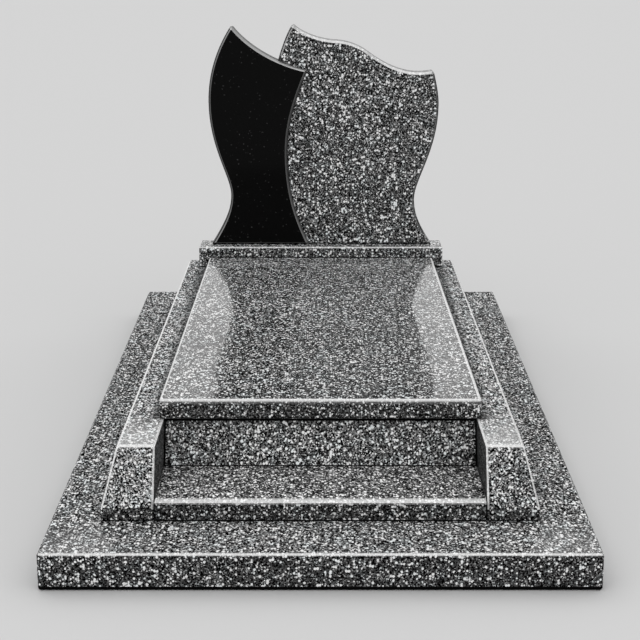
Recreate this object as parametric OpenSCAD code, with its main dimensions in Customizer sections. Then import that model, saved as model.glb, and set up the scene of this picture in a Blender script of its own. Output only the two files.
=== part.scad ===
// Granite grave monument: a plinth, a frame of kerbs with a flower shelf at the foot,
// a polished ledger slab, and a headstone of two steles on a base of its own.
// Millimetres. The origin is under the middle of the plinth; the foot end faces -Y.

/* [Plinth] */
// Width of the plinth slab
base_width = 1200; // [1100:10:1450]
// Length of the plinth slab, foot to head
base_length = 2300; // [1900:10:2800]
// Height of the plinth slab
base_height = 85; // [60:5:160]
// Plinth left bare in front of the kerbs
foot_margin = 180; // [100:5:240]
// Plinth left bare behind the kerbs
head_margin = 190; // [100:5:240]
// Plinth left bare on either side of the kerbs, at the foot
side_margin = 113; // [60:1:150]

/* [Kerbs] */
// Height of the kerbs
kerb_height = 156; // [120:2:200]
// Width of a side kerb at its foot
kerb_foot_width = 117; // [90:1:145]
// Width of a side kerb on top
kerb_top_width = 85; // [65:1:88]
// Height of the upright toe under the battered faces
toe_height = 28; // [15:1:45]
// How far the kerb ends lean back from toe to top
end_lean = 62; // [30:1:80]
// Angle by which each side kerb draws in towards the head
toe_in = 0.5; // [0:0.1:0.8]

/* [Flower shelf and riser] */
// Height of the flower shelf
shelf_height = 48; // [35:1:60]
// Depth of shelf in front of the riser
shelf_depth = 222; // [150:2:280]
// Drop of the washed front edge of the shelf
wash_drop = 6; // [3:1:10]
// Run of the washed front edge of the shelf
wash_run = 22; // [10:1:30]
// Thickness of the riser panel
riser_thickness = 50; // [30:1:60]

/* [Ledger] */
// Thickness of the ledger slab at the foot
ledger_thickness = 48; // [35:1:80]
// Fall of the ledger's upper face towards the head
ledger_fall = 12; // [0:1:20]
// How far the ledger laps onto each side kerb
ledger_lap = 9; // [5:1:20]
// How far the ledger stands out past the top of the riser
ledger_overhang = 28; // [10:1:35]
// Gap between the ledger and the headstone base
ledger_gap = 15; // [2:1:40]
// How far the ledger bears on the rear kerb
ledger_bearing = 57; // [20:1:90]

/* [Headstone] */
// Kerb top left bare at either end of the headstone base
headstone_base_inset = 40; // [10:1:70]
// Height of the headstone base
headstone_base_height = 67; // [50:1:120]
// Bare strip of the headstone base in front of the steles
stele_setback = 42; // [15:1:60]
// Thickness of both steles
stele_thickness = 64; // [40:1:80]
// Bare strip of the headstone base behind the steles
stele_rear_margin = 2; // [0:1:20]
// Headstone base left bare beside the granite stele
stele_end_margin = 36; // [10:1:80]
// Height of the steles
stele_height = 712; // [550:2:900]

/* [Finish] */
// Bevel on the arrises of the plinth
base_bevel = 5; // [2:0.5:8]
// Bevel on the arrises of the other stones
bevel = 4; // [2:0.5:6]
// Bevel round the front and back of the steles
stele_bevel = 7; // [3:0.5:8]
// Bevel of the granite stele where it meets the black one
joint_bevel = 2.5; // [1:0.5:4]
// Open joint between a kerb and the stones set between the kerbs
joint = 0.8; // [0.2:0.1:0.9]

/* [Hidden] */

// Levels of the upper surfaces
base_top = base_height;
shelf_top = base_top + shelf_height;
kerb_top = base_top + kerb_height;
ledger_top = kerb_top + ledger_thickness;
stele_foot = kerb_top + headstone_base_height;

// Places along the length, from the foot to the head
kerb_front = foot_margin - base_length / 2;
kerb_rear = base_length / 2 - head_margin;
lean_angle = atan(end_lean / (kerb_height - toe_height));
riser_foot = kerb_front + shelf_depth;
riser_lean = (kerb_height - shelf_height) * tan(lean_angle);
riser_depth = riser_thickness / cos(lean_angle);
headstone_base_front = kerb_rear - stele_rear_margin - stele_thickness - stele_setback;
stele_front = headstone_base_front + stele_setback;
ledger_front = riser_foot + riser_lean - ledger_overhang;
ledger_rear = headstone_base_front - ledger_gap;

// Places across the width
kerb_outer = base_width / 2 - side_margin;
kerb_inner = kerb_outer - kerb_foot_width;
batter_angle = atan((kerb_foot_width - kerb_top_width) / (kerb_height - toe_height));
draw_in = (kerb_rear - kerb_front) * tan(toe_in);
headstone_base_half = kerb_inner + kerb_top_width - draw_in - headstone_base_inset;

// Planes are [outward normal, distance from the origin].
function unit(v) = v / norm(v);
function face(normal, point) = [unit(normal), unit(normal) * point];

// The plane that bevels the arris between two faces, width measured along each face
function bevel_plane(a, b, width) =
    let (sum = a[0] + b[0])
    [unit(sum), (a[1] + b[1]) / norm(sum) - width * norm(a[0] - b[0]) / 2];

// All that lies behind a plane, as a block larger than any stone
block = 2 * base_length;
module behind(plane) {
    n = plane[0];
    rotate([0, acos(n.z), atan2(n.y, n.x)])
        translate([-block / 2, -block / 2, plane[1] - block])
            cube(block);
}

// A stone dressed to its faces, with every arris between them bevelled
module dressed_stone(faces, width) {
    bevels = [for (i = [0 : len(faces) - 2], j = [i + 1 : len(faces) - 1])
        if (faces[i][0] * faces[j][0] > -0.8) bevel_plane(faces[i], faces[j], width)];
    intersection_for (plane = concat(faces, bevels))
        behind(plane);
}

// Faces shared by the stones that lie along the monument; side is -1 for left, 1 for right
function top_face(z) = face([0, 0, 1], [0, 0, z]);
function bed_face(z) = face([0, 0, -1], [0, 0, z]);
function foot_face(y) = face([0, -1, 0], [0, y, 0]);
function head_face(y) = face([0, 1, 0], [0, y, 0]);
function kerb_line(side) = [side * cos(toe_in), sin(toe_in), 0];
function between_kerbs(side, half_width) =
    face(kerb_line(side), [side * half_width, kerb_front, 0]);

module base_slab() {
    color([0.33, 0.34, 0.35])
        dressed_stone([
            top_face(base_top), bed_face(0),
            foot_face(-base_length / 2), head_face(base_length / 2),
            face([-1, 0, 0], [-base_width / 2, 0, 0]), face([1, 0, 0], [base_width / 2, 0, 0])
        ], base_bevel);
}

module side_kerb(side) {
    line = kerb_line(side);
    toe_top = base_top + toe_height;
    color([0.38, 0.39, 0.40])
        dressed_stone([
            top_face(kerb_top), bed_face(base_top), head_face(kerb_rear),
            foot_face(kerb_front),
            face([0, -cos(lean_angle), sin(lean_angle)], [0, kerb_front, toe_top]),
            face(-line, [side * kerb_inner, kerb_front, 0]),
            face(line, [side * kerb_outer, kerb_front, 0]),
            face([line.x * cos(batter_angle), line.y * cos(batter_angle), sin(batter_angle)],
                [side * kerb_outer, kerb_front, toe_top])
        ], bevel);
}

module left_kerb() {
    side_kerb(-1);
}

module right_kerb() {
    side_kerb(1);
}

module rear_kerb() {
    color([0.36, 0.37, 0.38])
        dressed_stone([
            top_face(kerb_top), bed_face(base_top),
            foot_face(ledger_rear - ledger_bearing), head_face(kerb_rear),
            between_kerbs(-1, kerb_inner - joint), between_kerbs(1, kerb_inner - joint)
        ], bevel);
}

module front_riser() {
    lean = [0, cos(lean_angle), -sin(lean_angle)];
    color([0.34, 0.35, 0.36])
        dressed_stone([
            top_face(kerb_top), bed_face(shelf_top),
            face(-lean, [0, riser_foot, shelf_top]),
            face(lean, [0, riser_foot + riser_depth, shelf_top]),
            between_kerbs(-1, kerb_inner - joint), between_kerbs(1, kerb_inner - joint)
        ], bevel / 2);
}

module flower_shelf() {
    color([0.37, 0.38, 0.39])
        dressed_stone([
            top_face(shelf_top), bed_face(base_top), foot_face(kerb_front),
            face([0, -wash_drop, wash_run], [0, kerb_front, shelf_top - wash_drop]),
            head_face(riser_foot + riser_depth),
            between_kerbs(-1, kerb_inner - joint), between_kerbs(1, kerb_inner - joint)
        ], bevel / 2);
}

module ledger() {
    half_width = kerb_inner + ledger_lap;
    color([0.40, 0.41, 0.42])
        dressed_stone([
            face([0, ledger_fall, ledger_rear - ledger_front], [0, ledger_front, ledger_top]),
            bed_face(kerb_top),
            foot_face(ledger_front), head_face(ledger_rear),
            between_kerbs(-1, half_width), between_kerbs(1, half_width)
        ], bevel);
}

module headstone_base() {
    color([0.36, 0.37, 0.38])
        dressed_stone([
            top_face(stele_foot), bed_face(kerb_top),
            foot_face(headstone_base_front), head_face(kerb_rear),
            face([-1, 0, 0], [-headstone_base_half, 0, 0]),
            face([1, 0, 0], [headstone_base_half, 0, 0])
        ], bevel);
}

// Outlines of the steles, as cubic curves in width and height over the headstone base
curve_steps = 16;
// Step of the black stele's top at which the granite one starts to lap it
lap_step = 11;

function curve_point(c, t) =
    pow(1 - t, 3) * c[0] + 3 * t * pow(1 - t, 2) * c[1]
    + 3 * t * t * (1 - t) * c[2] + pow(t, 3) * c[3];
function curve(c, first = 0) =
    [for (i = [first : curve_steps - 1]) curve_point(c, i / curve_steps)];

// The points of the steles are blunted by a short flat from one curve to the next.
black_left_foot = [[-357, 0], [-323, 56], [-293, 108], [-293, 165]];
black_left_waist = [[-293, 165], [-293, 225], [-362, 318], [-362, 468]];
black_left_shoulder = [[-362, 468], [-362, 560], [-333, 638], [-291, 704]];
black_top = [[-282, 706], [-238, 650], [-150, 592], [-44, 570]];
black_right_shoulder = [[-44, 570], [-80, 485], [-110, 400], [-110, 305]];
black_right_foot = [[-110, 305], [-110, 185], [-86, 98], [-39, 0]];
black_corner = [-39, 0];

granite_right_foot = [[362, 0], [330, 48], [305, 95], [305, 152]];
granite_right_waist = [[305, 152], [305, 215], [380, 310], [380, 458]];
granite_right_shoulder = [[380, 458], [380, 495], [371, 530], [364, 560]];
granite_top_hollow = [[357, 567], [280, 550], [215, 583], [165, 617]];
granite_top_crest = [[165, 617], [130, 644], [95, 662], [40, 664]];
granite_top_sweep = [[40, 664], [-10, 668], [-60, 688], [-86, 712]];
lap_point = curve_point(black_top, lap_step / curve_steps);
granite_left_edge = [[-94, 708], [-108, 686], [-124, 645], lap_point];

// The drawn outlines are fitted to the headstone base and to the height of the steles.
width_fit = (headstone_base_half - stele_end_margin) / granite_right_foot[0].x;
height_fit = stele_height / granite_top_sweep[3].y;

// The black outline runs clockwise seen from the foot end, the granite one the other way.
black_outline = concat(
    curve(black_left_foot), curve(black_left_waist), curve(black_left_shoulder),
    [black_left_shoulder[3]], curve(black_top), curve(black_right_shoulder),
    curve(black_right_foot), [black_corner]);
granite_free_edge = concat(
    curve(granite_right_foot), curve(granite_right_waist), curve(granite_right_shoulder),
    [granite_right_shoulder[3]], curve(granite_top_hollow), curve(granite_top_crest),
    curve(granite_top_sweep), [granite_top_sweep[3]], curve(granite_left_edge));
granite_joint_edge = concat(
    curve(black_top, lap_step), curve(black_right_shoulder), curve(black_right_foot));

// The shift of a corner whose two edges, given by their inward normals, move in by a and b
function corner_shift(m, n, a, b) =
    let (turn = m.x * n.y - m.y * n.x)
    abs(turn) < 0.001 ? m * a : [n.y * a - m.y * b, m.x * b - n.x * a] / turn;

// An outline with each edge moved in by its own width; hand is 1 if it runs clockwise
function inset(outline, widths, hand) =
    let (
        n = len(outline),
        normals = [for (i = [0 : n - 1])
            let (along = unit(outline[(i + 1) % n] - outline[i]))
            hand * [along.y, -along.x]]
    )
    [for (i = [0 : n - 1])
        let (last = (i + n - 1) % n)
        outline[i] + corner_shift(normals[last], normals[i], widths[last], widths[i])];

// Share of the bevel by which its cutter runs past the stone on either side
run_out = 0.2;

// A ring of triangular section that cuts the bevel round the front of a slab
module bevel_cutter(outline, widths, hand) {
    n = len(outline);
    deep = max(widths);
    inner = inset(outline, widths * (1 + run_out), hand);
    outer = inset(outline, -widths * run_out, hand);
    points = concat(
        [for (p = inner) [p.x, -deep * run_out, p.y]],
        [for (p = outer) [p.x, deep * (1 + run_out), p.y]],
        [for (p = outer) [p.x, -deep * run_out, p.y]]);
    faces = [for (r = [0 : 2], i = [0 : n - 1])
        let (j = (i + 1) % n, a = r * n, b = (r + 1) % 3 * n)
        hand > 0 ? [a + i, a + j, b + j, b + i] : [a + i, b + i, b + j, a + j]];
    polyhedron(points, faces);
}

// A slab sawn to an outline, with a bevel of its own on each edge, front and back
module stele(outline, widths, hand) {
    full = [for (p = outline) [p.x * width_fit, p.y * height_fit]];
    translate([0, stele_front, stele_foot])
        difference() {
            rotate([90, 0, 0])
                translate([0, 0, -stele_thickness])
                    linear_extrude(stele_thickness)
                        polygon(full);
            bevel_cutter(full, widths, hand);
            translate([0, stele_thickness, 0])
                mirror([0, 1, 0])
                    bevel_cutter(full, widths, hand);
        }
}

module granite_stele() {
    color([0.42, 0.43, 0.44])
        stele(
            concat(granite_free_edge, granite_joint_edge, [black_corner]),
            concat([for (p = granite_free_edge) stele_bevel],
                [for (p = granite_joint_edge) joint_bevel], [stele_bevel]),
            -1);
}

module black_stele() {
    color([0.06, 0.06, 0.07])
        stele(black_outline, [for (p = black_outline) stele_bevel], 1);
}

base_slab();
left_kerb();
right_kerb();
rear_kerb();
front_riser();
flower_shelf();
ledger();
headstone_base();
granite_stele();
black_stele();
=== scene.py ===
"""The grave monument: ten polished stones on a pale studio floor."""
import math

import bpy
import numpy as np
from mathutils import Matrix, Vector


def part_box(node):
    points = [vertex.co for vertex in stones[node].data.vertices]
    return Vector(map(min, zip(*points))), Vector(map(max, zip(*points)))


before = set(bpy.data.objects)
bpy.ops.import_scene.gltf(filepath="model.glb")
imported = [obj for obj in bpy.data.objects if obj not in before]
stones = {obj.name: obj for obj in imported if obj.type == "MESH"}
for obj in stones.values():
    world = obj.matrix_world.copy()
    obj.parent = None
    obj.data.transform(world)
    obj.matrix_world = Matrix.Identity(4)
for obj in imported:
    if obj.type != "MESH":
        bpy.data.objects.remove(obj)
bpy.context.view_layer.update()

# ---------------------------------------------------------------------------------------------
# The plinth: one broad slab of speckled grey granite, laid flat on the ground. It is sawn, then
# polished on top and round its edges, and its arrises are ground off, which leaves them pale;
# where they look up they also carry a painted highlight.
# ---------------------------------------------------------------------------------------------


class Paint:
    """A socket among the nodes of a stone's material, or of the surround. Arithmetic on it adds
    Math nodes beside it."""

    def __init__(self, tree, socket=None):
        self.tree = tree
        self.socket = socket

    def node(self, kind, settings, sockets, output=0):
        """Adds a node, its settings first, then the values or links of its sockets."""
        made = self.tree.nodes.new(kind)
        for key, value in settings.items():
            if key == "stops":
                ramp = made.color_ramp.elements
                for stop in list(ramp)[1:]:
                    ramp.remove(stop)
                ramp[0].position = value[0][0]
                ramp[0].color = grey(value[0][1])
                for place, level in value[1:]:
                    ramp.new(place).color = grey(level)
            else:
                setattr(made, key, value)
        for key, value in sockets.items():
            if isinstance(value, Paint):
                self.tree.links.new(value.socket, made.inputs[key])
            else:
                made.inputs[key].default_value = value
        return Paint(self.tree, made.outputs[output])

    def maths(self, operation, *values):
        return self.node("ShaderNodeMath", {"operation": operation}, dict(enumerate(values)))

    def __add__(self, other):
        return self.maths("ADD", self, other)

    def __radd__(self, other):
        return self.maths("ADD", other, self)

    def __sub__(self, other):
        return self.maths("SUBTRACT", self, other)

    def __rsub__(self, other):
        return self.maths("SUBTRACT", other, self)

    def __mul__(self, other):
        return self.maths("MULTIPLY", self, other)

    def __rmul__(self, other):
        return self.maths("MULTIPLY", other, self)

    def __truediv__(self, other):
        return self.maths("DIVIDE", self, other)

    def __pow__(self, other):
        return self.maths("POWER", self, other)

    def __gt__(self, other):
        return self.maths("GREATER_THAN", self, other)

    def __lt__(self, other):
        return self.maths("LESS_THAN", self, other)

    def __abs__(self):
        return self.maths("ABSOLUTE", self)

    def most(self, other):
        """The larger of the two."""
        return self.maths("MAXIMUM", self, other)

    def rise(self, low, high):
        """0 below low, 1 above high and smooth between."""
        return self.node("ShaderNodeMapRange", {"interpolation_type": "SMOOTHSTEP"},
                         {0: self, 1: low, 2: high})

    def blend(self, below, above):
        """The first colour where this mask is 0 and the second where it is 1."""
        return self.node("ShaderNodeMix", {"data_type": "RGBA"}, {0: self, 6: below, 7: above}, 2)

    def feed(self, target):
        """Links this socket to one of a shader's."""
        self.tree.links.new(self.socket, target)


def grey(level):
    """A neutral colour."""
    return (level, level, level, 1)


def new_stone(name):
    """An empty material, as the Paint that adds to it and the shader of its surface."""
    material = bpy.data.materials.new(name)
    material.use_nodes = True
    tree = material.node_tree
    return material, Paint(tree), tree.nodes["Principled BSDF"]


def dot(paint, vector, direction):
    """How far a vector reaches along a direction."""
    return paint.node("ShaderNodeVectorMath", {"operation": "DOT_PRODUCT"},
                      {0: vector, 1: direction}, "Value")


def looking(paint, direction):
    """How squarely a face looks along a direction, 1 where it looks straight along it."""
    return dot(paint, paint.node("ShaderNodeNewGeometry", {}, {}, "True Normal"), direction)


def spot(paint):
    """Where a point of the stone is, in metres."""
    return paint.node("ShaderNodeTexCoord", {}, {}, "Object")


def spot_along(paint, axis):
    """Where a point of the stone is along one axis, in metres."""
    return paint.node("ShaderNodeSeparateXYZ", {}, {0: spot(paint)}, axis)


def channel(paint, colour, name):
    """One channel of a colour, which gives each grain a number of its own."""
    return paint.node("ShaderNodeSeparateColor", {}, {"Color": colour}, name)


SAME_FACE = 0.999                 # cosine between the normals of two parts of one flat face
ARRIS_WIDTH = 0.012               # a face narrower than this is an arris


def sawn_faces(piece, least=ARRIS_WIDTH):
    """Normals of a stone's broad faces, those wider than least."""
    groups = []
    corners = np.array([v.co for v in piece.data.vertices])
    for face in piece.data.polygons:
        normal = np.array(face.normal)
        group = next((g for g in groups if g["normal"] @ normal > SAME_FACE), None)
        if group is None:
            group = {"normal": normal, "area": 0.0, "corners": []}
            groups.append(group)
        group["area"] += face.area
        group["corners"] += list(face.vertices)
    broad = []
    for group in groups:
        length = np.ptp(corners[group["corners"]], axis=0).max()
        if group["area"] / length > least:
            broad.append(tuple(float(part) for part in group["normal"]))
    return broad


def arris_mask(paint, normals, turn):
    """1 on the narrow faces between those with the given normals. It begins between the two
    cosines of turn to a broad face."""
    mask = None
    for normal in normals:
        clear = 1 - looking(paint, normal).rise(turn[0], turn[1])
        mask = clear if mask is None else mask * clear
    return mask


BEDDED = (0.87, 0.6, 1.0)         # share of the grain count that is left on faces along the bed
GROUND_PER_METRE = 370.0
GROUND_TONES = ((0.0, 0.0), (0.16, 0.02), (0.3, 0.2), (0.75, 0.34), (0.9, 0.52), (1.0, 0.9))
MICA_PER_METRE = 180.0
MICA_SIZE = 0.38                  # radius, in spacings of the specks
FELSPAR_SIZE = 0.62               # radius of the largest white grains, in their spacings
FELSPAR_SCATTER = 0.8             # how unevenly they lie
FELSPAR_DULLEST = 0.85            # how light the greyest of them is
CLUMPS_PER_METRE = 60.0
CLUMPING = 0.4                    # how far the large ones keep to the clumps


def speckle(paint, shift, flat, fine, felspar):
    """How light each grain of the granite is, 0 to 1, in a stone cut from the block at shift.

    The block is split along its grain, so the grains lie longer on the flat faces. Felspar gives
    how many white grains lie along a metre, and how rare the large ones are."""
    count = paint.node("ShaderNodeMix", {"data_type": "VECTOR"},
                       {0: flat, 4: (fine,) * 3, 5: tuple(share * fine for share in BEDDED)}, 1)
    place = paint.node("ShaderNodeVectorMath", {"operation": "MULTIPLY_ADD"},
                       {0: spot(paint), 1: count, 2: shift})

    # The ground mass: small grains of quartz and felspar, each of one grey
    grain = paint.node("ShaderNodeTexVoronoi", {}, {"Vector": place, "Scale": GROUND_PER_METRE},
                       "Color")
    tone = paint.node("ShaderNodeValToRGB", {"stops": GROUND_TONES},
                      {"Fac": channel(paint, grain, "Red")})

    # Rounded specks of black mica
    near = paint.node("ShaderNodeTexVoronoi", {}, {"Vector": place, "Scale": MICA_PER_METRE},
                      "Distance")
    ground = tone * (1 - (near < MICA_SIZE))

    # White felspar, rounder and in loose clumps; some of it greyer
    per_metre, rarity = felspar
    drift = paint.node("ShaderNodeTexNoise", {},
                       {"Vector": place, "Scale": CLUMPS_PER_METRE, "Detail": 1.0}, "Fac")
    apart = {"Vector": place, "Scale": per_metre, "Randomness": FELSPAR_SCATTER}
    near = paint.node("ShaderNodeTexVoronoi", {}, apart, "Distance")
    blob = paint.node("ShaderNodeTexVoronoi", {}, apart, "Color")
    chance = channel(paint, blob, "Red") + CLUMPING * (drift - 0.5)
    white = near < chance.rise(rarity, 1.0) * FELSPAR_SIZE
    fresh = FELSPAR_DULLEST + (1 - FELSPAR_DULLEST) * channel(paint, blob, "Green")
    return ground + white * (fresh - ground), place


LEVEL = 0.95                      # a face that looks up more than this is level
TOP = 0.9                         # the same, with the start of its arrises
SIDE_ON = 0.9                     # a face that looks sideways more than this is a side
SIDEWAYS = 0.4                    # and an arris one of a side's
DOWNWARD = -0.2                   # an arris that looks up less than this is undercut
POLISH_AND_SHADE_DEPTH = 2.1                # how far upright faces are darkened, by their polish and as painted shade
NICHE_SHADE_TONES = (0.015, 0.2)        # of the painted shade on a kerb's face into the niche, the darkest grain and what light ones add
PATCHES_PER_METRE = 45.0
PATCH_EDGE = (0.45, 0.65)
PATCH_TINTS = (grey(0.95), (0.91, 0.945, 0.955, 1))
HIGHLIGHT_LEVEL = 0.95               # how pale a painted highlight line is
ARRIS_GRAIN = 0.25                # how much of the grain an arris keeps
# the pale of a ground arris, and of the painted highlight on it
GROUND_PALE_AND_HIGHLIGHT = grey(0.96)
# the black of mastic joints, and of painted shade
MASTIC_AND_SHADE = grey(0.004)
POLISHED_ROUGH = 0.1
WEAR_ROUGH = 0.08
WEAR_PER_METRE = 22.0
ARRIS_ROUGH = 0.2


def dress(piece, normals, shift, fine=1.0, felspar=(180.0, 0.64), flat_from=0.3, flat_dark=0.1,
          flat_white=0.78, slope_white=None, niche_face=0, turn=(0.86, 0.995), lift=(0.05, 0.35),
          edge=(0.95, 0.95, 0.95), highlight_lines=(), undercut=0.95, joints=(), trim=None, rough=None,
          polish=None, sheen=0.05):
    """Gives a stone its speckled granite.

    normals      those of its broad faces; every other face is an arris
    shift        where in the block it is cut
    fine         how much finer its grain is than the block's
    felspar      how many white grains lie along a metre, and how rare the large ones are
    flat_from    a face that looks up more than this is painted lighter, as painted light of the sky
    flat_dark    there, grains darker than this turn black
    flat_white   and grains lighter than this turn white
    slope_white  flat_white where such a face isn't level
    niche_face   the side that faces the niche and is painted dark as shade, -1 for the left and 1 for the right
    turn         cosines to a broad face between which an arris begins
    lift         how far an arris looks up, between which it turns pale, a painted highlight
    edge         how pale the arrises are painted along the foot and head, on the left and on the right, as painted light that falls from the left
    highlight_lines  painted highlight lines on the top, each an outward direction and where the
    line begins
    undercut     how dark the arrises that look down are painted, as painted shade
    joints  bands of mastic and of painted shade, each an axis and its two ends along it
    trim         a function that lays the stone's own details over its colour
    rough        a function that gives what is added to its roughness
    polish       a function that gives the depth of the polish on its level faces
    sheen        how far it shines elsewhere"""
    material, paint, surface = new_stone(piece.name + " granite")
    across = looking(paint, (1, 0, 0))
    up = looking(paint, (0, 0, 1))
    level = up > LEVEL
    light, place = speckle(paint, shift, level, fine, felspar)

    # Polish darkens upright faces, and painted shade darkens them further; faces that look up are
    # painted lighter, as painted light of the sky
    tone = light ** POLISH_AND_SHADE_DEPTH
    # Painted shade: the kerb's face into the niche is painted dark
    if niche_face:
        niche_shade = NICHE_SHADE_TONES[0] + NICHE_SHADE_TONES[1] * light
        tone = tone + (niche_face * across > SIDE_ON) * (niche_shade - tone)
    if slope_white is not None:
        flat_white = slope_white + (flat_white - slope_white) * level
    tone = tone + (up > flat_from) * (light.rise(flat_dark, flat_white) - tone)
    patch = paint.node("ShaderNodeTexNoise", {}, {"Vector": place, "Scale": PATCHES_PER_METRE},
                       "Fac")
    colour = paint.node("ShaderNodeVectorMath", {"operation": "MULTIPLY"},
                        {0: tone, 1: patch.rise(*PATCH_EDGE).blend(*PATCH_TINTS)})

    # Ground arrises are pale, and carry a painted highlight where they look up, set apart for the
    # foot, the left and the right as painted light from the left. The painted highlight lines are
    # pale too, and all keep a trace of the grain
    arris = arris_mask(paint, normals, turn)
    along_foot, on_left, on_right = edge
    white = (along_foot + (on_left - along_foot) * (across < -SIDEWAYS)
             + (on_right - along_foot) * (across > SIDEWAYS))
    pale = arris * up.rise(lift[0], lift[1]) * white
    for outward, start in highlight_lines:
        line = (dot(paint, spot(paint), outward) > start) * (up > TOP)
        pale = pale.most(line * HIGHLIGHT_LEVEL)
    pale = pale * (1 - ARRIS_GRAIN + ARRIS_GRAIN * light)
    colour = pale.blend(colour, GROUND_PALE_AND_HIGHLIGHT)

    # Painted shade: arrises that look down are painted dark. Bands of mastic are dark, and some
    # bands stand for painted shade
    dark = undercut * arris * (up < DOWNWARD)
    for axis, low, high in joints:
        along = spot_along(paint, axis)
        dark = dark.most((along > low) * (along < high))
    colour = dark.blend(colour, MASTIC_AND_SHADE)
    if trim is not None:
        colour = trim(paint, colour, light, arris)
    colour.feed(surface.inputs["Base Color"])

    wear = paint.node("ShaderNodeTexNoise", {},
                      {"Vector": place, "Scale": WEAR_PER_METRE, "Detail": 3.0}, "Fac")
    gloss = POLISHED_ROUGH + WEAR_ROUGH * wear + ARRIS_ROUGH * arris
    if rough is not None:
        gloss = gloss + rough(paint)
    gloss.feed(surface.inputs["Roughness"])
    surface.inputs["Specular IOR Level"].default_value = sheen
    if polish is not None:
        (polish(paint) * level).feed(surface.inputs["Coat Weight"])
        surface.inputs["Coat Roughness"].default_value = 0.03
    piece.material_slots[0].material = material


def ease(piece, width):
    """Takes the knife edge off a stone's arrises."""
    weld = piece.modifiers.new("Close the corners", "WELD")
    weld.merge_threshold = 1e-5
    round_off = piece.modifiers.new("Eased arrises", "BEVEL")
    round_off.width = width
    round_off.segments = 3
    round_off.limit_method = "ANGLE"
    round_off.angle_limit = math.radians(15)


BEYOND = 1.0                      # past a stone's edge, where nothing of it lies


def dark_band_under(foot, height):
    """The dark band of the given height along a stone's foot: mastic between stones, and painted
    shade where the plinth meets the floor.
    """
    return "Z", foot - BEYOND, foot + height


def buffed_front(paint):
    """The plinth's top is buffed brighter along its foot end, as far as the kerbs' noses."""
    buffed_to = plinth_low.y + 0.06
    dull_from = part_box("left_kerb")[0].y + 0.1
    return 1 - spot_along(paint, "Y").rise(buffed_to, dull_from)


plinth = stones["base_slab"]
plinth_low, plinth_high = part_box("base_slab")
# The dark band along the plinth's foot is painted shade where it meets the floor.
dress(plinth, sawn_faces(plinth), shift=(0.31, 0.77, 0.13), flat_white=0.73, turn=(0.8, 0.97),
      edge=(0.95, 0.0, 0.0), joints=[dark_band_under(plinth_low.z, height=0.01)],
      polish=buffed_front, sheen=0.0)
ease(plinth, width=0.0022)

# ---------------------------------------------------------------------------------------------
# The kerbs: a long stone down each side and one across the back, bedded on the plinth. The side
# kerbs lean in on their outer faces and end in a raked nose.
# ---------------------------------------------------------------------------------------------

KERBS = {
    "left_kerb": {"shift": (1.7, 0.2, 0.9), "flat_white": 0.58, "slope_white": 0.58, "niche_face": 1,
                  "edge": (0.98, 0.98, 0.85)},
    "right_kerb": {"shift": (4.1, 1.3, 2.9), "flat_white": 0.6, "slope_white": 0.71, "niche_face": -1,
                   "edge": (0.98, 0.98, 0.75)},
    "rear_kerb": {"shift": (2.3, 5.1, 0.4)},
}
OUTSIDE = {"left_kerb": -1, "right_kerb": 1}
FLATNESS = 1e-4                   # corners of one level face lie within this height
SHEEN_REACH = (0.04, 0.37)         # from the kerbs' foot end, where the painted sheen fades
SHEEN_DEPTH = 0.5
SHEEN_TONES = (0.65, 0.2)          # the darkest grain of the painted sheen and what light ones add
LEDGER_SHADOW_REACH = (0.012, 0.032)       # from the ledger's side, where the painted shadow fades
LEDGER_SHADOW_DEPTH = 0.55
LEDGER_SHADOW_GREY = grey(0.02)


def highlight_side(corners, side, width):
    """The painted highlight line of the given width along the side edge of a stone, through its
    outermost corners at the foot and at the head."""
    middle = sum(v.y for v in corners) / len(corners)
    foot = max((v for v in corners if v.y < middle), key=lambda v: side * v.x)
    head = max((v for v in corners if v.y > middle), key=lambda v: side * v.x)
    along = (head - foot).normalized()
    outward = (side * along.y, -side * along.x, 0.0)
    return outward, outward[0] * foot.x + outward[1] * foot.y - width


def highlight_foot(foot, width):
    """The painted highlight line of the given width along the edge of a stone that ends at foot.
    """
    return (0.0, -1.0, 0.0), -foot - width


def highlight_kerb(kerb, side):
    """The painted highlight lines along the outer edge and the foot edge of a side kerb's top."""
    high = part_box(kerb.name)[1].z
    top = [v.co for v in kerb.data.vertices if v.co.z > high - FLATNESS]
    foot = min(v.y for v in top)
    return [highlight_side(top, side, width=0.001), highlight_foot(foot, width=0.004)]


def kerb_top_sheen_and_shadow(paint, colour, light, arris):
    """A kerb's top is painted pale towards the foot, as a painted sheen, and a painted shadow of
    the ledger darkens a line along it, beside the ledger."""
    kerb_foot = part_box("left_kerb")[0].y
    ledger_from, ledger_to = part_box("ledger")
    top = looking(paint, (0, 0, 1)) > LEVEL
    along = spot_along(paint, "Y")
    painted_light = top * (1 - along.rise(kerb_foot + SHEEN_REACH[0], kerb_foot + SHEEN_REACH[1]))
    colour = (SHEEN_DEPTH * painted_light).blend(colour, SHEEN_TONES[0] + SHEEN_TONES[1] * light)
    away = abs(spot_along(paint, "X")) - ledger_to.x
    ledger_shadow = top * (along > ledger_from.y) * (1 - away.rise(*LEDGER_SHADOW_REACH))
    return (LEDGER_SHADOW_DEPTH * ledger_shadow).blend(colour, LEDGER_SHADOW_GREY)


for name, finish in KERBS.items():
    kerb = stones[name]
    dress(kerb, sawn_faces(kerb), joints=[dark_band_under(plinth_high.z, height=0.004)],
          highlight_lines=highlight_kerb(kerb, OUTSIDE[name]) if name in OUTSIDE else (), trim=kerb_top_sheen_and_shadow,
          sheen=0.0, **finish)
    ease(kerb, width=0.0012)

# ---------------------------------------------------------------------------------------------
# The flower shelf and the riser behind it: a low slab between the kerbs' noses with a washed
# front edge, and an upright that leans back with the noses and closes the grave under the ledger.
# ---------------------------------------------------------------------------------------------

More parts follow.
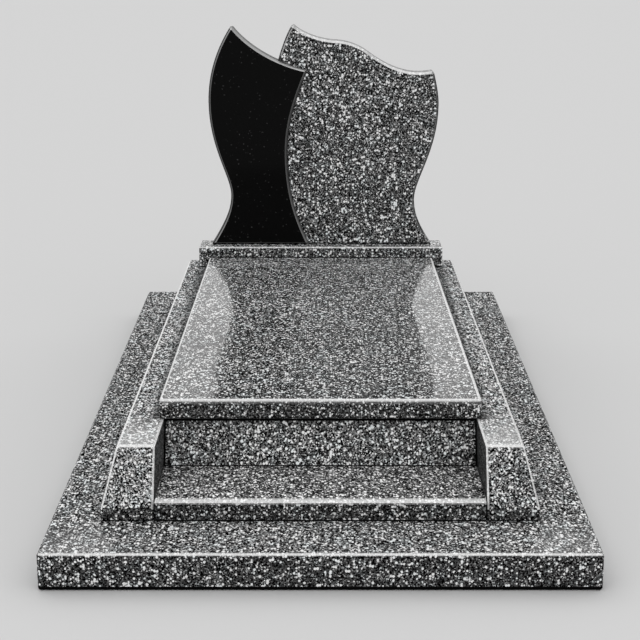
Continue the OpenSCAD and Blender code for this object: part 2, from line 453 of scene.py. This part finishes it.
WASH_WIDTH = 0.025                # a little over the wash's, which is treated as an arris, pale with a painted highlight
WASH_RUN = 0.022
WASH_UP = 0.93                    # the wash looks up more than this, the arris below it less
BELOW_UP = 0.2                    # and the arris more than this
BELOW_DEPTH = 0.9
BELOW_LEVEL = 0.5
WASH_KEPT = 0.15                  # how much of the speckle shows at the wash's front edge
WASH_HIGHLIGHT_FADE = (0.45, 1.2)         # where the painted highlight fades, in shares of the run
WASH_TONES = (0.1, 0.82)
RISER_HEAD = 0.0112               # depth of the dark band along the riser's head: mastic, and painted shadow under the ledger


def washed_front(paint, colour, light, arris):
    """The wash is painted pale along its front edge, a painted highlight. The stone's speckle
    shows behind, and on the arris below."""
    up = looking(paint, (0, 0, 1))
    below = arris * (up > BELOW_UP) * (up < WASH_UP)
    colour = (BELOW_DEPTH * below).blend(colour, BELOW_LEVEL * light)
    back = spot_along(paint, "Y") - shelf_low.y
    clear = back.rise(WASH_HIGHLIGHT_FADE[0] * WASH_RUN, WASH_HIGHLIGHT_FADE[1] * WASH_RUN)
    kept = (up > WASH_UP) * (WASH_KEPT + (1 - WASH_KEPT) * clear)
    return kept.blend(colour, light.rise(*WASH_TONES))


def joints_beside(low, high, width):
    """The bands of mastic of the given width down both sides of a stone."""
    return [("X", low.x - BEYOND, low.x + width), ("X", high.x - width, high.x + BEYOND)]


shelf = stones["flower_shelf"]
shelf_low, shelf_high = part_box("flower_shelf")
dress(shelf, sawn_faces(shelf, WASH_WIDTH), shift=(3.3, 0.6, 1.1), flat_white=0.82,
      turn=(0.965, 1.0), trim=washed_front,
      joints=[dark_band_under(shelf_low.z, height=0.004),
              *joints_beside(shelf_low, shelf_high, width=0.0025)])
ease(shelf, width=0.0008)

riser = stones["front_riser"]
riser_low, riser_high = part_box("front_riser")
dress(riser, sawn_faces(riser), shift=(0.9, 3.7, 2.2), fine=0.9, felspar=(170.0, 0.67),
      flat_white=0.8,
      joints=[dark_band_under(riser_low.z, height=0.003),
              ("Z", riser_high.z - RISER_HEAD, riser_high.z + BEYOND),
              *joints_beside(riser_low, riser_high, width=0.004)])
ease(riser, width=0.0008)

# ---------------------------------------------------------------------------------------------
# The ledger: the large cover slab, mirror polished on top, resting on the kerbs and the riser
# with a small lap over them. Its upper face falls slightly towards the head.
# ---------------------------------------------------------------------------------------------

LEDGER_BEVEL = 0.004
FRONTAL = 0.6                     # a face that looks to the foot more than this is in front
FRONT_FADE = (-0.009, 0.001)      # from the foot of the ledger's arris, where its pale part fades
FRONT_DEPTH = 0.34
FRONT_TONES = (0.5, 0.4)          # of that part, the darkest grain and what light ones add


def mirror_polish(paint):
    """The whole top of the ledger takes the same deep polish."""
    return 0.36


def rounded_front(paint, colour, light, arris):
    """Below its arris the ledger's foot edge is painted a little pale too, a painted highlight,
    and fades.
    """
    arris_foot = ledger_high.z - LEDGER_BEVEL
    front = looking(paint, (0, -1, 0)) > FRONTAL
    height = spot_along(paint, "Z")
    painted_light = front * height.rise(arris_foot + FRONT_FADE[0], arris_foot + FRONT_FADE[1])
    return (FRONT_DEPTH * painted_light).blend(colour, FRONT_TONES[0] + FRONT_TONES[1] * light)


ledger = stones["ledger"]
ledger_low, ledger_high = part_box("ledger")
ledger_corners = [v.co for v in ledger.data.vertices]
# The lines along the ledger's sides and foot are painted highlights, wider on the right.
dress(ledger, sawn_faces(ledger), shift=(5.2, 2.4, 0.7), felspar=(205.0, 0.64), flat_dark=0.15,
      flat_white=0.76, turn=(0.86, 0.985), edge=(0.98, 0.95, 0.95), undercut=0.15,
      highlight_lines=[highlight_side(ledger_corners, side=1, width=0.0078),
              highlight_side(ledger_corners, side=-1, width=0.006),
              highlight_foot(ledger_low.y, width=0.0085)],
      trim=rounded_front, polish=mirror_polish)
ease(ledger, width=0.0018)

# ---------------------------------------------------------------------------------------------
# The headstone base: a plain bar of the same granite across the head of the ledger, cut where
# the grain is coarser. A narrow gap stands between the two.
# ---------------------------------------------------------------------------------------------

HEAD_END = 0.006                  # corners of the ledger's head lie within this of its end
GAP_BELOW = 0.0015                # how far below the ledger's edge the gap begins
GAP_INSIDE = 0.012                # and how far inside its sides
GAP = grey(0.01)

ledger_head_top = max(v.z for v in ledger_corners if v.y > ledger_high.y - HEAD_END)


def shaded_gap(paint, colour, light, arris):
    """The base's front is painted dark down in the gap behind the ledger, as painted shade."""
    front = looking(paint, (0, -1, 0)) > FRONTAL
    low = spot_along(paint, "Z") < ledger_head_top - GAP_BELOW
    behind = abs(spot_along(paint, "X")) < ledger_high.x - GAP_INSIDE
    return (front * low * behind).blend(colour, GAP)


headstone_base = stones["headstone_base"]
dress(headstone_base, sawn_faces(headstone_base), shift=(2.8, 4.6, 3.1), fine=0.85,
      felspar=(165.0, 0.7), flat_from=-0.5, flat_white=0.68, slope_white=0.92, turn=(0.8, 0.97),
      edge=(0.85, 0.85, 0.85), trim=shaded_gap)
ease(headstone_base, width=0.0018)

# ---------------------------------------------------------------------------------------------
# The granite stele: the larger half of the headstone, cut to a flowing outline and bevelled all
# round, stood on the base and joined to the black half.
# ---------------------------------------------------------------------------------------------

FRONT_AND_BACK = [(0, -1, 0), (0, 1, 0)]
RIM_TURN = 0.1                    # a face that looks forwards or back less than this is the rim
RIM_ROUGH = 0.5
SKYWARD = (0.35, 0.68)            # how far an edge looks up, between which it is painted lighter, as painted light of the sky
LIP = 0.0035                      # depth of the part of a bevel beside the face
CLEAR_DROP = 0.09                 # the left side stands clear from this far below the black top
BEVEL_LEVEL = 0.03
CLEAR_LIP = 0.42                  # the painted highlight the lip takes where that side stands clear
RIGHT_LIP = 0.1                   # and down the right side
BEVEL_DEPTH = 0.85
RIM_TONES = (0.08, 0.3)           # of the rim, the darkest grain and what light ones add
RIM_TOP_DEPTH = 0.6
RIM_TOP_LEVEL = 0.28


def sawn_rim(paint):
    """1 on the rim of a stele, between its front and its back."""
    return abs(looking(paint, (0, 1, 0))) < RIM_TURN


def rough_rim(paint):
    """The rim keeps the roughness of the saw."""
    return RIM_ROUGH * sawn_rim(paint)


def sawn_edges(paint, colour, light, arris):
    """The rim is left as sawn. Down the sides the bevel is painted dark, with a painted highlight
    on the lip beside the face, most of all where that side stands clear of the black half."""
    across = looking(paint, (1, 0, 0))
    up = looking(paint, (0, 0, 1))
    rim = sawn_rim(paint)
    on_top = up.rise(*SKYWARD)
    lip = spot_along(paint, "Y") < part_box("granite_stele")[0].y + LIP
    clear_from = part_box("black_stele")[1].z - CLEAR_DROP
    clear = (across < -SIDEWAYS) * (spot_along(paint, "Z") > clear_from)
    bevel = BEVEL_LEVEL + lip * (CLEAR_LIP * clear + RIGHT_LIP * (across > SIDEWAYS))
    side = arris * (1 - rim) * (abs(up) < SKYWARD[0])
    colour = (BEVEL_DEPTH * side).blend(colour, bevel)
    colour = (rim * (1 - on_top)).blend(colour, RIM_TONES[0] + RIM_TONES[1] * light)
    return (RIM_TOP_DEPTH * rim * on_top).blend(colour, RIM_TOP_LEVEL * light)


dress(stones["granite_stele"], FRONT_AND_BACK, shift=(0.4, 6.2, 1.9), fine=0.85,
      felspar=(165.0, 0.7), flat_from=-0.5, flat_white=0.92, lift=SKYWARD, undercut=0.2,
      trim=sawn_edges, rough=rough_rim)

# ---------------------------------------------------------------------------------------------
# The black stele: the smaller half, in fine black granite with a few grey flecks, polished dark.
# Its bevel is greyer, and painted lighter most of all where it looks up, as painted light of the
# sky, and its rim is left as sawn.
# ---------------------------------------------------------------------------------------------

FLECKS_PER_METRE = 300.0
FLECK_TONES = ((0.0, 0.0035), (0.985, 0.0042), (1.0, 0.045))
BLACK_JOINT = 0.0045              # height of the black band along the bevel's foot: mastic, and painted shadow where it meets the base

black_stele = stones["black_stele"]
black_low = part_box("black_stele")[0]
material, paint, surface = new_stone("black_stele granite")
cell = paint.node("ShaderNodeTexVoronoi", {}, {"Vector": spot(paint), "Scale": FLECKS_PER_METRE},
                  "Color")
fleck = channel(paint, cell, "Red")
face = paint.node("ShaderNodeValToRGB", {"stops": FLECK_TONES}, {"Fac": fleck})

up = looking(paint, (0, 0, 1))
skyward = up.rise(0.0, 0.75)
right = 1 - (looking(paint, (1, 0, 0)) < -0.3)
inner = 0.12 + 0.38 * skyward + 0.25 * up.rise(0.6, 0.72)     # the bevel's lip, beside the face, a painted highlight, lighter where it looks up
outer = 0.05 + right * (0.07 + 0.33 * skyward)                # the rest of it, painted lighter where it looks up, and dark on the left
sides = (0.05 + 0.16 * skyward) * (0.8 + 0.4 * fleck)         # the rim, painted lighter where it looks up

lip = spot_along(paint, "Y") < black_low.y + LIP
rim = sawn_rim(paint)
edges = sides + (1 - rim) * (outer + lip * (inner - outer) - sides)
edges = edges * (spot_along(paint, "Z") > black_low.z + BLACK_JOINT)
arris = arris_mask(paint, FRONT_AND_BACK, turn=(0.86, 0.995))
arris.blend(face, edges).feed(surface.inputs["Base Color"])
(0.08 + 0.2 * arris + 0.4 * rim).feed(surface.inputs["Roughness"])
surface.inputs["Specular IOR Level"].default_value = 0.04
black_stele.material_slots[0].material = material

# ---------------------------------------------------------------------------------------------
# The studio: a wide pale floor and surround, dim in the stones' polish except for the sky and a
# bright panel behind the grave, and one broad weak light from behind on the left.
# ---------------------------------------------------------------------------------------------

FLOOR_REACH = 90.0
FLOOR_LEVEL = 0.653
LIGHT_LEVEL = 0.95                # of the surround, where it lights the stones
BACKDROP_LEVEL = 0.66             # where it is seen behind them
WALL_LEVEL = 0.22                 # and where their polish mirrors it
PANEL_LIFT = 0.95
PANEL_EDGE = (0.10, 0.135)        # half its width over its distance, where it fades
SKY_LIFT = 0.98
SKY_EDGE = (0.35, 0.42)           # sine of the height at which the sky begins
KEY_LEVEL = 0.08                  # how light it makes a white face turned to it

bpy.ops.mesh.primitive_plane_add(size=2 * FLOOR_REACH, location=(0, 0, 0))
floor = bpy.context.object
floor.name = "studio_floor"
floor_material = bpy.data.materials.new("pale floor")
floor_material.use_nodes = True
floor_surface = floor_material.node_tree.nodes["Principled BSDF"]
floor_surface.inputs["Base Color"].default_value = grey(FLOOR_LEVEL)
floor_surface.inputs["Roughness"].default_value = 0.9
floor_surface.inputs["Specular IOR Level"].default_value = 0.0
floor.data.materials.append(floor_material)

world = bpy.data.worlds.new("surround")
bpy.context.scene.world = world
world.use_nodes = True
sky = Paint(world.node_tree)
way = sky.node("ShaderNodeTexCoord", {}, {}, "Generated")
across = sky.node("ShaderNodeSeparateXYZ", {}, {0: way}, "X")
deep = sky.node("ShaderNodeSeparateXYZ", {}, {0: way}, "Y")
height = sky.node("ShaderNodeSeparateXYZ", {}, {0: way}, "Z")
seen = sky.node("ShaderNodeLightPath", {}, {}, "Is Camera Ray")
mirrored = sky.node("ShaderNodeLightPath", {}, {}, "Is Glossy Ray")
through = sky.node("ShaderNodeLightPath", {}, {}, "Is Transmission Ray")
panel = (deep > 0.0) * (1 - abs(across / deep).rise(*PANEL_EDGE))
open_sky = height.rise(*SKY_EDGE)
wall = (WALL_LEVEL + PANEL_LIFT * panel).most(WALL_LEVEL + SKY_LIFT * open_sky)
strength = (LIGHT_LEVEL + mirrored.most(through) * (wall - LIGHT_LEVEL)
            + seen * (BACKDROP_LEVEL - LIGHT_LEVEL))
backing = world.node_tree.nodes["Background"]
backing.inputs["Color"].default_value = grey(1)
strength.feed(backing.inputs["Strength"])

key = bpy.data.lights.new("key", "SUN")
key.energy = KEY_LEVEL * math.pi
key.angle = math.radians(40)
key_lamp = bpy.data.objects.new("key", key)
key_lamp.rotation_euler = (math.radians(-30), math.radians(-20), 0)
bpy.context.scene.collection.objects.link(key_lamp)

eye = bpy.data.cameras.new("eye")
eye.sensor_width = 36.0
eye.lens = 90.9
eye.shift_x = -0.0027
camera = bpy.data.objects.new("eye", eye)
camera.location = (0.003, -4.315, 1.439)
camera.rotation_euler = (math.radians(75.07), 0.0, 0.0)
bpy.context.scene.collection.objects.link(camera)
bpy.context.scene.camera = camera
bpy.context.scene.view_settings.view_transform = "Standard"
